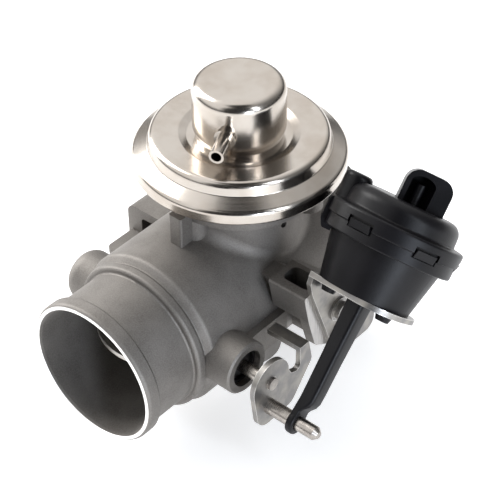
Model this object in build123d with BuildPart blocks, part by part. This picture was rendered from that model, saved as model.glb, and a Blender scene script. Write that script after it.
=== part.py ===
from build123d import *
import os
from math import cos, hypot, radians, sin

# An exhaust gas recirculation valve for a diesel intake: a cast air horn with a throttle flap worked by
# a vacuum actuator, and a poppet valve that lets exhaust gas in, lifted by a second diaphragm in a pressed can.
# Frame: the origin is the centre of the outlet bore at the manifold face, +Y points out through that face,
# +Z up along the valve stem, and +X towards the lever and the actuator. Lengths are in millimetres.

# ---------------------------------------------------------------- driving dimensions
# Air passage, along Y
manifold_to_stem = 46.0
stem_to_shaft = 43.9
stem_to_mouth = 82.6
bore_r = 25.4
mouth_r = 26.3
mouth_taper_len = 26.0
register_r = 26.0
register_len = 8.0
bead_r = 29.0
bead_len = 6.3
bead_front_r = 1.6
bead_back_r = 1.0
spigot_r = 27.4
spigot_len = 18.8
step_ring_r = 30.0
step_ring_len = 4.2
barrel_r = 31.6
barrel_waist_r = 30.4

# Manifold flange
manifold_disc_r = 31.5
manifold_bolt_pcd = 76.0
manifold_bolt_count = 3
manifold_bolt_hole_r = 4.25
manifold_lobe_r = 8.0
manifold_flange_t = 9.0
o_ring_section_r = 1.25
o_ring_seat_r = 28.6
o_ring_depth = 1.9
o_ring_side_gap = 0.2

# Neck and the poppet valve in it, along Z
neck_r = 25.0
neck_fillet_r = 5.0
neck_top_z = 45.2
neck_collar_r = 30.5
neck_collar_t = 5.0
neck_well_r = 19.5
neck_well_floor_z = 33.0
guide_boss_r = 8.0
guide_top_z = 42.0
can_boss_r = 5.4
can_boss_pcd_r = 26.0
can_boss_count = 3
can_boss_angle = -89.0
can_boss_end_z = 27.0
stop_rib_w = 6.0
stop_rib_reach = 36.5
stop_rib_top_z = 44.4
vent_r = 1.3
vent_z = 33.6
stem_r = 3.0
bush_wall = 2.2
valve_clearance = 0.05
poppet_r = 11.6
poppet_t = 3.0
seat_bore_r = 10.0
seat_outer_r = 13.4
seat_t = 4.2
seat_face_z = -26.2
valve_lift = 5.0
chamber_r = 12.4
chamber_wall = 3.4
chamber_floor_z = -38.6
chamber_base_z = -42.0

# Exhaust gas inlet, along X on the left
gas_face_x = -48.0
gas_flange_t = 8.0
gas_flange_y = 6.0
gas_flange_half_width = 19.0
gas_flange_top_z = 12.0
gas_port_z = -17.0
gas_port_r = 10.5
gas_port_len = 17.0
gas_bolt_spacing = 42.0
gas_bolt_hole_r = 3.4
gas_bolt_depth = 13.0
duct_wall = 3.2
gas_passage_width = 20.0
ledge_reach = 15.0
ledge_t = 2.6

# Throttle flap and its shaft, along X
shaft_r = 4.0
shaft_nose_r = 2.5
shaft_clearance = 0.05
boss_r = 10.5
boss_right_x = 41.0
boss_left_x = -43.5
bearing_outer_r = 6.4
bearing_len = 9.0
seal_len = 3.0
seal_outer_r = 7.3
seal_recess = 2.6
flap_r = 25.2
flap_t = 1.8
flap_tilt = 9.0
flap_travel = 72.0
flap_screw_spacing = 22.0
flap_screw_r = 1.5
flap_screw_head_r = 2.6

# Lever on the shaft's right end
lever_x = 50.4
lever_t = 2.2
lever_arm = 10.5
lever_lobe_arm = 12.5
lever_rest_angle = -97.0
lever_reach = 23.0
lever_lobe_r = 6.4
lever_hub_r = 9.6
lever_tab_z = 5.6
lever_tab_len = 13.5
lever_tab_w = 5.0
pin_r = 3.0
pin_tip_r = 2.7
pin_len = 25.1
eye_r = 4.7
eye_t = 3.0
rod_x = 66.5

# Vacuum actuator, along a line that climbs from the lever's pin
actuator_angle = 48.2
plate_ahead = 33.8
plate_z = 27.1
rod_w = 5.4
rod_t = 6.4
rod_foot_r = 8.0
cup_base_r = 17.3
cup_rim_r = 21.4
cup_depth = 19.4
cup_wall = 1.8
cup_flange_r = 23.0
cup_flange_t = 2.6
skirt_r = 24.7
band_r = 25.6
dome_r = 21.4
dome_top = 36.6
dome_corner_r = 4.5
snap_places = (0, 1, 3, 4, 5)
snap_w = 10.4
snap_h = 4.2
hood_angle = 30.4
hood_w = 17.4
hood_middle = 3.7
hood_h = 12.6
hood_front = 7.0
hood_back = 6.0
hood_mouth_w = 9.0
port_shift = 1.5
port_r = 2.2
port_bore_r = 1.1
lug_reach = 26.0
lug_half_w = 6.0
lug_foot = 16.0
lug_top = 28.0
low_boss_r = 5.2
low_boss_at = 19.5
low_boss_top = 38.6
piston_r = 14.4
piston_t = 2.4
piston_h = 6.8
rubber_t = 1.0
piston_rest = 4.2
rod_hole_r = 8.6
rod_hole_shift = 1.2
actuator_spring_r = 10.0
actuator_wire_r = 0.8
actuator_spring_turns = 5
stake_circle_r = 12.0
stake_r = 2.4
stake_head_r = 3.3
stake_head_t = 2.6
stake_shift = 3.0

# Bracket of zinc plated sheet
bracket_t = 2.0
plate_half_w = 17.0
plate_reach = 19.0
plate_corner_r = 13.0
bracket_corner = 11.0
bracket_screw_r = 2.5
bracket_screw_head_r = 4.8
bracket_screw_head_h = 3.2
bracket_screw_depth = 12.0
bracket_screws_at = ((39.6, 8.0), (41.9, -7.5))
block_root_x = 33.0
block_step = 3.5
lug_x = 44.6
lower_screw_boss_r = 5.8
pocket_floor_z = 11.0
pocket_ahead = 30.3
pocket_w = 7.6
rib_len = 30.0
rib_half_t = 6.0
rib_drop = 2.0

# Diaphragm can of the poppet valve
can_r = 40.0
can_sheet = 1.0
gasket_t = 0.8
pan_floor_r = 30.0
rim_low_z = 50.0
rim_top_z = 55.4
step_outer_r = 33.7
step_outer_z = 58.5
step_inner_r = 32.6
step_inner_z = 63.4
dish_r = 22.8
groove_r = 18.9
groove_z = 61.2
cap_r = 17.25
cap_waist_r = 16.3
cap_top_z = 84.7
cap_corner_r = 4.0
nipple_z = 71.5
nipple_angle = -65.0
nipple_len = 12.0
nipple_r = 2.75
nipple_shank_r = 2.5
nipple_inside = 2.0
nipple_collar_t = 1.6
nipple_bore_r = 1.9
nipple_collar_r = 4.0
diaphragm_t = 1.2
roll_h = 3.2
roll_crest = 4.4
drive_plate_r = 20.0
drive_plate_t = 1.0
stem_end_r = 2.4
nut_r = 4.4
nut_h = 3.6
valve_spring_r = 11.0
valve_wire_r = 0.9
valve_spring_turns = 5
can_screw_r = 2.0
can_screw_head_r = 3.4
can_screw_head_h = 2.0
can_screw_len = 8.0
can_screw_depth = 9.5

# ---------------------------------------------------------------- places worked out from the sizes
stem_y = -manifold_to_stem
shaft_y = stem_y - stem_to_shaft
mouth_y = stem_y - stem_to_mouth
spigot_end_y = mouth_y + bead_len + spigot_len
barrel_start_y = spigot_end_y + step_ring_len
gas_y = stem_y + gas_flange_y
gas_front_y = gas_y - gas_flange_half_width
gas_back_y = gas_y + gas_flange_half_width
gas_inner_x = gas_face_x + gas_flange_t

lever_turn = radians(lever_rest_angle)
pin_y = shaft_y + lever_arm * cos(lever_turn)
pin_z = lever_arm * sin(lever_turn)
rise_y = cos(radians(actuator_angle))
rise_z = sin(radians(actuator_angle))
plate_y = shaft_y + plate_ahead
rod_run_y = plate_y + piston_rest * rise_y - pin_y
rod_run_z = plate_z + piston_rest * rise_z - pin_z
rod_len = hypot(rod_run_y, rod_run_z)
eye_x = rod_x - rod_w / 2 - 0.6
block_face_x = lever_x - 1.4

bush_r = stem_r + bush_wall
pan_floor_z = neck_top_z + gasket_t + can_sheet / 2
pan_rim_z = rim_low_z + 1.5 * can_sheet
diaphragm_z = pan_rim_z + can_sheet / 2 + diaphragm_t / 2
lower_plate_z = diaphragm_z - diaphragm_t / 2 - drive_plate_t
upper_plate_z = diaphragm_z + diaphragm_t / 2
stem_top_z = upper_plate_z + drive_plate_t + nut_h + 1.0
valve_spring_foot = upper_plate_z + drive_plate_t + valve_wire_r + 0.05
valve_spring_top = cap_top_z - can_sheet - valve_wire_r - 0.05
cup_seat = cup_depth + cup_flange_t
cover_roof = dome_top - cup_wall
piston_top = piston_rest + piston_h + rubber_t

stem_axis = Axis((0, stem_y, 0), (0, 0, 1))
shaft_axis = Axis((0, shaft_y, 0), (1, 0, 0))
actuator_axis = Axis((rod_x, plate_y, plate_z), (0, rise_y, rise_z))
stem_plane = Plane(origin=(0, stem_y, 0), x_dir=(1, 0, 0), z_dir=(0, -1, 0))
shaft_plane = Plane(origin=(0, shaft_y, 0), x_dir=(1, 0, 0), z_dir=(0, -1, 0))
actuator_plane = Plane(origin=(rod_x, plate_y, plate_z), x_dir=(1, 0, 0), z_dir=(0, -rise_z, rise_y))
rod_plane = Plane(origin=(rod_x, pin_y, pin_z), x_dir=(1, 0, 0), z_dir=(0, rod_run_y, rod_run_z))
hood_turn = radians(hood_angle)
hood_line = Vector(cos(hood_turn), sin(hood_turn) * rise_z, -sin(hood_turn) * rise_y)
hood_side = hood_line.cross(Vector(0, rise_y, rise_z))
hood_plane = Plane(origin=(rod_x, plate_y, plate_z), x_dir=hood_line, z_dir=hood_side)
gas_plane = Plane(origin=(gas_face_x, gas_y, gas_port_z), x_dir=(0, 1, 0), z_dir=(-1, 0, 0))


def up(height, angle=0.0):
    """The level plane through the stem axis at a height, turned about it."""
    turned = (cos(radians(angle)), sin(radians(angle)), 0)
    return Plane(origin=(0, stem_y, height), x_dir=turned, z_dir=(0, 0, 1))


def across(x):
    """The plane across the shaft at x, with its origin on the shaft, local x along Y and local y along Z."""
    return Plane(origin=(x, shaft_y, 0), x_dir=(0, 1, 0), z_dir=(1, 0, 0))


def along(height):
    """The plane across the actuator at a height above its mounting plate, local x along X."""
    middle = (rod_x, plate_y + height * rise_y, plate_z + height * rise_z)
    return Plane(origin=middle, x_dir=(1, 0, 0), z_dir=(0, rise_y, rise_z))


def outline(*points):
    """Adds the face inside a closed line of straight runs to the sketch in hand."""
    with BuildLine() as line:
        Polyline(*points, close=True)
    make_face(line.edges())


def pressed(*points, radius, thickness):
    """Adds the section of a pressed sheet whose middle follows the points to the sketch in hand."""
    with BuildLine() as line:
        FilletPolyline(*points, radius=radius)
    trace(line.edges(), line_width=thickness)


def keep(piece, name):
    """Labels a finished piece and writes it to its file."""
    piece.part.label = name
    export_step(piece.part, f"parts/{name}.step")


os.makedirs("parts", exist_ok=True)

# ---------------------------------------------------------------- housing
can_boss_angles = [can_boss_angle + 360 / can_boss_count * k for k in range(can_boss_count)]
bore_wall_r = bore_r + duct_wall

block_outline = (
    (22.3, 22.5),
    (25.2, 9.0),
    (29.2, -4.6),
    (36.0, -8.5),
    (42.0, -13.5),
    (51.0, -13.5),
    (56.0, -6.0),
    (54.5, 6.0),
    (45.0, 15.5),
    (36.0, 23.5),
)
block_corners = (0.9, 0.9, 2.5, 2.0, 3.0, 3.0, 3.0, 3.0, 2.0, 0.9)
undercut_outline = (
    (20.0, 9.0),
    (27.0, 8.4),
    (34.0, 5.0),
    (36.5, -1.0),
    (38.0, -16.0),
    (20.0, -16.0),
)

with BuildPart() as housing:
    # The air horn: bead, hose spigot, step ring and barrel, turned about the air passage
    with BuildSketch(Plane.XY):
        with BuildLine():
            FilletPolyline(
                (0, mouth_y),
                (bead_r, mouth_y),
                (bead_r, mouth_y + bead_len),
                (spigot_r, mouth_y + bead_len),
                (spigot_r, spigot_end_y),
                (step_ring_r, spigot_end_y),
                (step_ring_r, barrel_start_y - 0.8),
                (step_ring_r - 0.9, barrel_start_y + 0.2),
                (barrel_r, barrel_start_y + 2.6),
                (barrel_r, stem_y + neck_r + 7.0),
                (barrel_waist_r, -manifold_flange_t),
                (barrel_waist_r, -1.0),
                (0, -1.0),
                radius=(bead_front_r, bead_back_r, 0.5, 0.7, 1.3, 0.6, 0.4, 2.2, 4.0, 1.0, 0.5),
            )
            Line((0, -1.0), (0, mouth_y))
        make_face()
    revolve(axis=Axis.Y)

    # The neck that carries the diaphragm can, with its collar and three pointed screw bosses,
    # and the stop rib that runs forward under the can
    with BuildSketch(up(0)):
        Circle(neck_r)
    extrude(amount=neck_top_z)
    neck_edges = housing.edges(Select.LAST).filter_by_position(Axis.Z, 10, neck_top_z - 1)
    neck_root = neck_edges.filter_by(GeomType.CIRCLE, reverse=True).filter_by(GeomType.LINE, reverse=True)
    fillet(neck_root, radius=neck_fillet_r)
    with BuildSketch(stem_plane):
        outline(
            (0, neck_top_z - neck_collar_t),
            (neck_r, neck_top_z - neck_collar_t - 4),
            (neck_collar_r, neck_top_z - neck_collar_t),
            (neck_collar_r, neck_top_z),
            (0, neck_top_z),
        )
    revolve(axis=stem_axis)
    for angle in can_boss_angles:
        with BuildSketch(up(neck_top_z - neck_collar_t, angle)):
            with Locations((can_boss_pcd_r, 0)):
                Circle(can_boss_r)
        extrude(amount=-9)
        with BuildSketch(up(neck_top_z - neck_collar_t - 9, angle)):
            with Locations((can_boss_pcd_r, 0)):
                Circle(can_boss_r)
        with BuildSketch(up(can_boss_end_z, angle)):
            with Locations((neck_r - 2, 0)):
                Circle(0.8)
        loft()
    with BuildSketch(Plane.XY.offset(barrel_r - 3)):
        with Locations((0.4, stem_y - (stop_rib_reach + neck_well_r) / 2)):
            RectangleRounded(stop_rib_w, stop_rib_reach - neck_well_r, 0.9)
    extrude(amount=stop_rib_top_z - barrel_r + 3)

    # Shaft bosses on both sides of the horn
    with BuildSketch(shaft_plane):
        with BuildLine():
            Polyline(
                (0, 0),
                (boss_right_x, 0),
                (boss_right_x, boss_r - 0.7),
                (boss_right_x - 0.7, boss_r),
                (boss_left_x + 5.5, boss_r),
            )
            RadiusArc((boss_left_x + 5.5, boss_r), (boss_left_x, boss_r - 5.5), -5.5)
            Polyline((boss_left_x, boss_r - 5.5), (boss_left_x, 0), (0, 0))
        make_face()
    revolve(axis=shaft_axis)

    # The block that carries the actuator's bracket, stepped at its root, with a rib to the right shaft boss
    with BuildSketch(across(barrel_r / 4)):
        with BuildLine() as block_line:
            FilletPolyline(*block_outline, radius=block_corners, close=True)
        make_face(offset(block_line.edges(), amount=-block_step, mode=Mode.PRIVATE).edges())
    extrude(amount=block_root_x - barrel_r / 4)
    with BuildSketch(across(block_root_x - 1.0)):
        with BuildLine():
            FilletPolyline(*block_outline, radius=block_corners, close=True)
        make_face()
    extrude(amount=block_face_x - block_root_x + 1.0)
    with BuildSketch(across(block_root_x - 1.0)):
        with BuildLine():
            FilletPolyline(*undercut_outline, radius=2.0, close=True)
        make_face()
        with Locations(bracket_screws_at[1]):
            Circle(lower_screw_boss_r, mode=Mode.SUBTRACT)
    extrude(amount=lug_x - block_root_x + 1.0, mode=Mode.SUBTRACT)
    with BuildSketch(Plane.XY.offset(pocket_floor_z)):
        with Locations(((block_root_x + block_face_x) / 2, shaft_y + pocket_ahead)):
            RectangleRounded(block_face_x - block_root_x - 3.6, pocket_w, 2.4)
    extrude(amount=block_outline[-1][1] - pocket_floor_z + 1.0, mode=Mode.SUBTRACT)
    with BuildSketch(across(barrel_r - 9)):
        with Locations((rib_len / 2, -rib_drop)):
            Rectangle(rib_len, 2 * rib_half_t)
    extrude(amount=12)

    # Exhaust arm on the left: flange, duct and the chamber under the bore
    with BuildSketch(stem_plane.offset(-(gas_back_y - stem_y))):
        with BuildLine():
            FilletPolyline(
                (0, gas_flange_top_z),
                (gas_face_x, gas_flange_top_z),
                (gas_face_x, chamber_base_z + 6),
                (gas_face_x + 10, chamber_base_z),
                (0, chamber_base_z),
                radius=(0.5, 4.0, 3.0, 3.0, 0.5),
                close=True,
            )
        make_face()
    extrude(amount=gas_back_y - gas_front_y)
    with BuildSketch(stem_plane.offset(stem_y - gas_front_y)):
        with Locations(((gas_inner_x - bore_r) / 2, gas_flange_top_z / 2 - 1.5)):
            RectangleRounded(-bore_r - gas_inner_x + 1.0, gas_flange_top_z - 5.0, 1.5)
    extrude(amount=-7.0, mode=Mode.SUBTRACT)
    with BuildSketch(up(chamber_base_z)):
        Circle(chamber_r + chamber_wall)
    extrude(amount=-chamber_base_z)
    with BuildSketch(Plane.XY):
        with Locations(((gas_face_x + 2 - 8) / 2, gas_front_y - ledge_reach / 2 + 2)):
            RectangleRounded(-8 - (gas_face_x + 2), ledge_reach + 4, 2.5)
    extrude(amount=-ledge_t)

    # Manifold flange: a disc with three bolt lobes
    with BuildSketch(Plane.XZ):
        Circle(manifold_disc_r)
    extrude(amount=manifold_flange_t)
    with BuildSketch(Plane.XZ):
        with PolarLocations(manifold_bolt_pcd / 2, manifold_bolt_count, start_angle=90):
            Circle(manifold_lobe_r)
        make_hull()
    extrude(amount=manifold_flange_t)

    # Machining: the air bore, the neck's well, and the bores of the stem, the seat and the chamber
    with BuildSketch(Plane.XY):
        outline(
            (0, 0),
            (register_r, 0),
            (register_r, -register_len),
            (bore_r, -register_len),
            (bore_r, mouth_y + mouth_taper_len),
            (mouth_r, mouth_y + 1.0),
            (mouth_r + 0.7, mouth_y),
            (0, mouth_y),
        )
    revolve(axis=Axis.Y, mode=Mode.SUBTRACT)
    with BuildSketch(up(neck_well_floor_z)):
        Circle(neck_well_r)
        Circle(guide_boss_r, mode=Mode.SUBTRACT)
    extrude(amount=neck_top_z - neck_well_floor_z, mode=Mode.SUBTRACT)
    with BuildSketch(up(guide_top_z)):
        Circle(guide_boss_r + 0.5)
    extrude(amount=neck_top_z - guide_top_z, mode=Mode.SUBTRACT)
    with BuildSketch(up(0)):
        Circle(bush_r)
    extrude(amount=guide_top_z, mode=Mode.SUBTRACT)
    with BuildSketch(up(seat_face_z - seat_t)):
        Circle(seat_outer_r)
    extrude(amount=seat_t + 12, mode=Mode.SUBTRACT)
    with BuildSketch(up(chamber_floor_z)):
        Circle(chamber_r)
    extrude(amount=seat_face_z - seat_t - chamber_floor_z, mode=Mode.SUBTRACT)

    # The exhaust passage: the port, then a flat way round the outside of the bore to the chamber
    with BuildSketch(gas_plane):
        Circle(gas_port_r)
    extrude(amount=-gas_port_len, mode=Mode.SUBTRACT)
    with BuildSketch(stem_plane.offset(-gas_passage_width / 2)):
        outline(
            (gas_face_x + gas_port_len, gas_port_z + gas_port_r - 2),
            (gas_face_x + gas_port_len - 6, gas_port_z + gas_port_r - 4),
            (gas_face_x + gas_port_len - 6, gas_port_z - gas_port_r + 2),
            (-2 * chamber_r, chamber_floor_z + 1),
            (-chamber_r, chamber_floor_z),
            (0, chamber_floor_z),
            (0, seat_face_z - seat_t),
            (-bore_wall_r + 8.6, -12),
        )
        Circle(bore_wall_r, mode=Mode.SUBTRACT)
    extrude(amount=gas_passage_width, mode=Mode.SUBTRACT)

    # Bores across the air passage for the shaft, its bearings and its seal
    with BuildSketch(across(boss_left_x + 5)):
        Circle(bearing_outer_r)
    extrude(amount=boss_right_x - boss_left_x - 5, mode=Mode.SUBTRACT)
    with BuildSketch(across(boss_right_x)):
        Circle(seal_outer_r)
    extrude(amount=-seal_recess - seal_len, mode=Mode.SUBTRACT)

    # Threaded and plain holes
    with BuildSketch(gas_plane):
        with GridLocations(1, gas_bolt_spacing, 1, 2):
            Circle(gas_bolt_hole_r)
    extrude(amount=-gas_bolt_depth, mode=Mode.SUBTRACT)
    with BuildSketch(Plane.XZ):
        with PolarLocations(manifold_bolt_pcd / 2, manifold_bolt_count, start_angle=90):
            Circle(manifold_bolt_hole_r)
    extrude(amount=manifold_flange_t, mode=Mode.SUBTRACT)
    with BuildSketch(Plane.XZ):
        Circle(o_ring_seat_r + o_ring_section_r + o_ring_side_gap)
        Circle(o_ring_seat_r - o_ring_section_r - o_ring_side_gap, mode=Mode.SUBTRACT)
    extrude(amount=o_ring_depth, mode=Mode.SUBTRACT)
    for angle in can_boss_angles:
        with BuildSketch(up(neck_top_z, angle)):
            with Locations((can_boss_pcd_r, 0)):
                Circle(can_screw_r)
        extrude(amount=-can_screw_depth, mode=Mode.SUBTRACT)
    with BuildSketch(across(block_face_x)):
        with Locations(*bracket_screws_at):
            Circle(bracket_screw_r)
    extrude(amount=-bracket_screw_depth, mode=Mode.SUBTRACT)
    with BuildSketch(Plane(origin=(neck_r + 1, stem_y - 4, vent_z), z_dir=(1, 0, 0))):
        Circle(vent_r)
    extrude(amount=-neck_r + neck_well_r - 3, mode=Mode.SUBTRACT)

keep(housing, "housing")

with BuildPart() as manifold_o_ring:
    with BuildSketch(Plane.XY):
        with Locations((o_ring_seat_r, -o_ring_depth + o_ring_section_r)):
            Circle(o_ring_section_r)
    revolve(axis=Axis.Y)
keep(manifold_o_ring, "manifold_o_ring")

# ---------------------------------------------------------------- poppet valve
with BuildPart() as valve_seat:
    with BuildSketch(stem_plane):
        outline(
            (seat_bore_r, seat_face_z - seat_t),
            (seat_outer_r, seat_face_z - seat_t),
            (seat_outer_r, seat_face_z - 0.5),
            (seat_outer_r - 0.5, seat_face_z),
            (seat_bore_r, seat_face_z),
        )
    revolve(axis=stem_axis)
keep(valve_seat, "valve_seat")

with BuildPart() as poppet_valve:
    with BuildSketch(stem_plane):
        outline(
            (0, seat_face_z - 1.6),
            (seat_bore_r - 1.4, seat_face_z - 1.6),
            (seat_bore_r - 0.6, seat_face_z),
            (poppet_r, seat_face_z),
            (poppet_r, seat_face_z + poppet_t - 0.8),
            (poppet_r - 0.8, seat_face_z + poppet_t),
            (stem_r + 2.4, seat_face_z + poppet_t + 0.6),
            (stem_r, seat_face_z + poppet_t + 5),
            (stem_r, lower_plate_z),
            (stem_end_r, lower_plate_z),
            (stem_end_r, stem_top_z - 0.6),
            (stem_end_r - 0.6, stem_top_z),
            (0, stem_top_z),
        )
    revolve(axis=stem_axis)
keep(poppet_valve, "poppet_valve")

with BuildPart() as stem_bush:
    with BuildSketch(up(bore_r - 0.5)):
        Circle(bush_r)
        Circle(stem_r + valve_clearance, mode=Mode.SUBTRACT)
    extrude(amount=guide_top_z - 0.8 - bore_r + 0.5)
keep(stem_bush, "stem_bush")

with BuildPart() as stem_seal:
    with BuildSketch(stem_plane):
        outline(
            (stem_r + valve_clearance, guide_top_z - 0.8),
            (bush_r, guide_top_z - 0.8),
            (bush_r, guide_top_z),
            (bush_r + 1.6, guide_top_z),
            (bush_r + 1.6, guide_top_z + 1.0),
            (stem_r + 1.0, guide_top_z + 1.8),
            (stem_r + valve_clearance, guide_top_z + 1.8),
        )
    revolve(axis=stem_axis)
keep(stem_seal, "stem_seal")

# ---------------------------------------------------------------- diaphragm can
with BuildPart() as can_gasket:
    with BuildSketch(up(neck_top_z)):
        Circle(neck_collar_r - 0.4)
        Circle(neck_well_r + 0.3, mode=Mode.SUBTRACT)
        with PolarLocations(can_boss_pcd_r, can_boss_count, start_angle=can_boss_angle):
            Circle(can_screw_r + 0.4, mode=Mode.SUBTRACT)
    extrude(amount=gasket_t)
keep(can_gasket, "can_gasket")

with BuildPart() as can_lower_pan:
    with BuildSketch(stem_plane):
        pressed(
            (neck_well_r - 8, pan_floor_z),
            (pan_floor_r + 1.0, pan_floor_z),
            (can_r - 5.6, pan_rim_z),
            (can_r - 1.0 - can_sheet, pan_rim_z),
            radius=1.6,
            thickness=can_sheet,
        )
    revolve(axis=stem_axis)
    with BuildSketch(up(pan_floor_z - can_sheet)):
        with PolarLocations(can_boss_pcd_r, can_boss_count, start_angle=can_boss_angle):
            Circle(can_screw_r + 0.4)
    extrude(amount=2 * can_sheet, mode=Mode.SUBTRACT)
keep(can_lower_pan, "can_lower_pan")

with BuildPart() as can_screws:
    for angle in can_boss_angles:
        with BuildSketch(up(pan_floor_z + can_sheet / 2, angle)):
            with Locations((can_boss_pcd_r, 0)):
                Circle(can_screw_head_r)
        extrude(amount=can_screw_head_h)
        with BuildSketch(up(pan_floor_z + can_sheet / 2, angle)):
            with Locations((can_boss_pcd_r, 0)):
                Circle(can_screw_r)
        extrude(amount=-can_screw_len)
        with BuildSketch(up(pan_floor_z + can_sheet / 2 + can_screw_head_h, angle)):
            with Locations((can_boss_pcd_r, 0)):
                RegularPolygon(can_screw_r * 0.8, 6)
        extrude(amount=-can_screw_head_h * 0.6, mode=Mode.SUBTRACT)
keep(can_screws, "can_screws")

with BuildPart() as can_upper_cover:
    with BuildSketch(stem_plane):
        pressed(
            (cap_waist_r - 2.2, groove_z - can_sheet / 2),
            (groove_r + 0.6, groove_z - can_sheet / 2),
            (dish_r, step_inner_z - 0.8 - can_sheet / 2),
            (step_inner_r, step_inner_z - can_sheet / 2),
            (step_outer_r, step_outer_z - can_sheet / 2),
            (can_r - can_sheet / 2, rim_top_z - can_sheet / 2),
            (can_r - can_sheet / 2, rim_low_z + can_sheet / 2),
            (can_r - 3.0, rim_low_z + can_sheet / 2),
            radius=(1.5, 1.5, 2.0, 1.0, 1.8, 0.6),
            thickness=can_sheet,
        )
    revolve(axis=stem_axis)
keep(can_upper_cover, "can_upper_cover")

nipple_turn = radians(nipple_angle)
nipple_line = Vector(cos(nipple_turn), sin(nipple_turn), 0)
nipple_foot = Vector(0, stem_y, nipple_z) + nipple_line * cap_r
nipple_plane = Plane(origin=nipple_foot, z_dir=nipple_line)

with BuildPart() as can_cap:
    with BuildSketch(stem_plane):
        pressed(
            (cap_waist_r - can_sheet / 2, groove_z),
            (cap_waist_r - can_sheet / 2, groove_z + 1.8),
            (cap_r - can_sheet / 2, groove_z + 4.6),
            (cap_r - can_sheet / 2, cap_top_z - can_sheet / 2),
            (0, cap_top_z - can_sheet / 2),
            radius=(1.6, 1.6, cap_corner_r - can_sheet / 2),
            thickness=can_sheet,
        )
    revolve(axis=stem_axis)
    with BuildSketch(nipple_plane):
        Circle(nipple_shank_r)
    extrude(amount=-nipple_inside - can_sheet, mode=Mode.SUBTRACT)
keep(can_cap, "can_cap")

with BuildPart() as vacuum_nipple:
    with BuildSketch(nipple_plane.offset(-can_sheet)):
        Circle(nipple_collar_r)
    extrude(amount=can_sheet + nipple_collar_t)
    with BuildSketch(up(nipple_z - nipple_collar_r - 1)):
        Circle(cap_r)
    extrude(amount=2 * nipple_collar_r + 2, mode=Mode.SUBTRACT)
    with BuildSketch(nipple_plane.offset(-nipple_inside)):
        Circle(nipple_shank_r)
    extrude(amount=nipple_inside + nipple_collar_t)
    with BuildSketch(nipple_plane.offset(nipple_collar_t)):
        Circle(nipple_r)
    extrude(amount=nipple_len - nipple_collar_t)
    with BuildSketch(nipple_plane.offset(-nipple_inside)):
        Circle(nipple_bore_r)
    extrude(amount=nipple_inside + nipple_len, mode=Mode.SUBTRACT)
keep(vacuum_nipple, "vacuum_nipple")

roll_start_r = drive_plate_r + 1.6
roll_end_r = can_r - 7.0
roll_middle_r = (roll_start_r + roll_end_r) / 2
with BuildPart() as diaphragm:
    with BuildSketch(stem_plane):
        pressed(
            (stem_end_r, diaphragm_z),
            (roll_start_r, diaphragm_z),
            (roll_middle_r - roll_crest / 2, diaphragm_z + roll_h),
            (roll_middle_r + roll_crest / 2, diaphragm_z + roll_h),
            (roll_end_r, diaphragm_z),
            (can_r - 3.0, diaphragm_z),
            radius=1.2,
            thickness=diaphragm_t,
        )
        outline(
            (can_r - 3.6, diaphragm_z - diaphragm_t / 2),
            (can_r - 1.3, diaphragm_z - diaphragm_t / 2),
            (can_r - 1.3, diaphragm_z + diaphragm_t / 2 + 0.9),
            (can_r - 3.6, diaphragm_z + diaphragm_t / 2 + 0.9),
        )
    revolve(axis=stem_axis)
keep(diaphragm, "diaphragm")

with BuildPart() as diaphragm_lower_plate:
    with BuildSketch(up(lower_plate_z)):
        Circle(drive_plate_r)
        Circle(stem_end_r, mode=Mode.SUBTRACT)
    extrude(amount=drive_plate_t)
keep(diaphragm_lower_plate, "diaphragm_lower_plate")

with BuildPart() as diaphragm_upper_plate:
    with BuildSketch(up(upper_plate_z)):
        Circle(drive_plate_r)
        Circle(stem_end_r, mode=Mode.SUBTRACT)
    extrude(amount=drive_plate_t)
keep(diaphragm_upper_plate, "diaphragm_upper_plate")

with BuildPart() as stem_nut:
    with BuildSketch(up(upper_plate_z + drive_plate_t)):
        RegularPolygon(nut_r, 6)
        Circle(stem_end_r, mode=Mode.SUBTRACT)
    extrude(amount=nut_h)
keep(stem_nut, "stem_nut")

with BuildPart() as valve_spring:
    with BuildLine() as coil:
        Helix(
            pitch=(valve_spring_top - valve_spring_foot) / valve_spring_turns,
            height=valve_spring_top - valve_spring_foot,
            radius=valve_spring_r,
            center=(0, stem_y, valve_spring_foot),
        )
    with BuildSketch(Plane(origin=coil.line @ 0, z_dir=coil.line % 0)):
        Circle(valve_wire_r)
    sweep(path=coil.line, is_frenet=True)
keep(valve_spring, "valve_spring")

# ---------------------------------------------------------------- throttle flap
bearing_in_x = bore_r + 0.4
with BuildPart() as shaft_bearings:
    for start, length in ((boss_left_x + 5, bearing_len + 2), (bearing_in_x, bearing_len)):
        with BuildSketch(across(start)):
            Circle(bearing_outer_r)
            Circle(shaft_r + shaft_clearance, mode=Mode.SUBTRACT)
        extrude(amount=length)
keep(shaft_bearings, "shaft_bearings")

seal_x = boss_right_x - seal_recess - seal_len
with BuildPart() as shaft_seal:
    with BuildSketch(across(seal_x)):
        Circle(seal_outer_r)
        Circle(shaft_nose_r + shaft_clearance, mode=Mode.SUBTRACT)
    extrude(amount=seal_len)
    with BuildSketch(across(seal_x + seal_len)):
        Circle(seal_outer_r - 1.2)
        Circle(shaft_nose_r + 1.2, mode=Mode.SUBTRACT)
    extrude(amount=-1.4, mode=Mode.SUBTRACT)
keep(shaft_seal, "shaft_seal")

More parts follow.
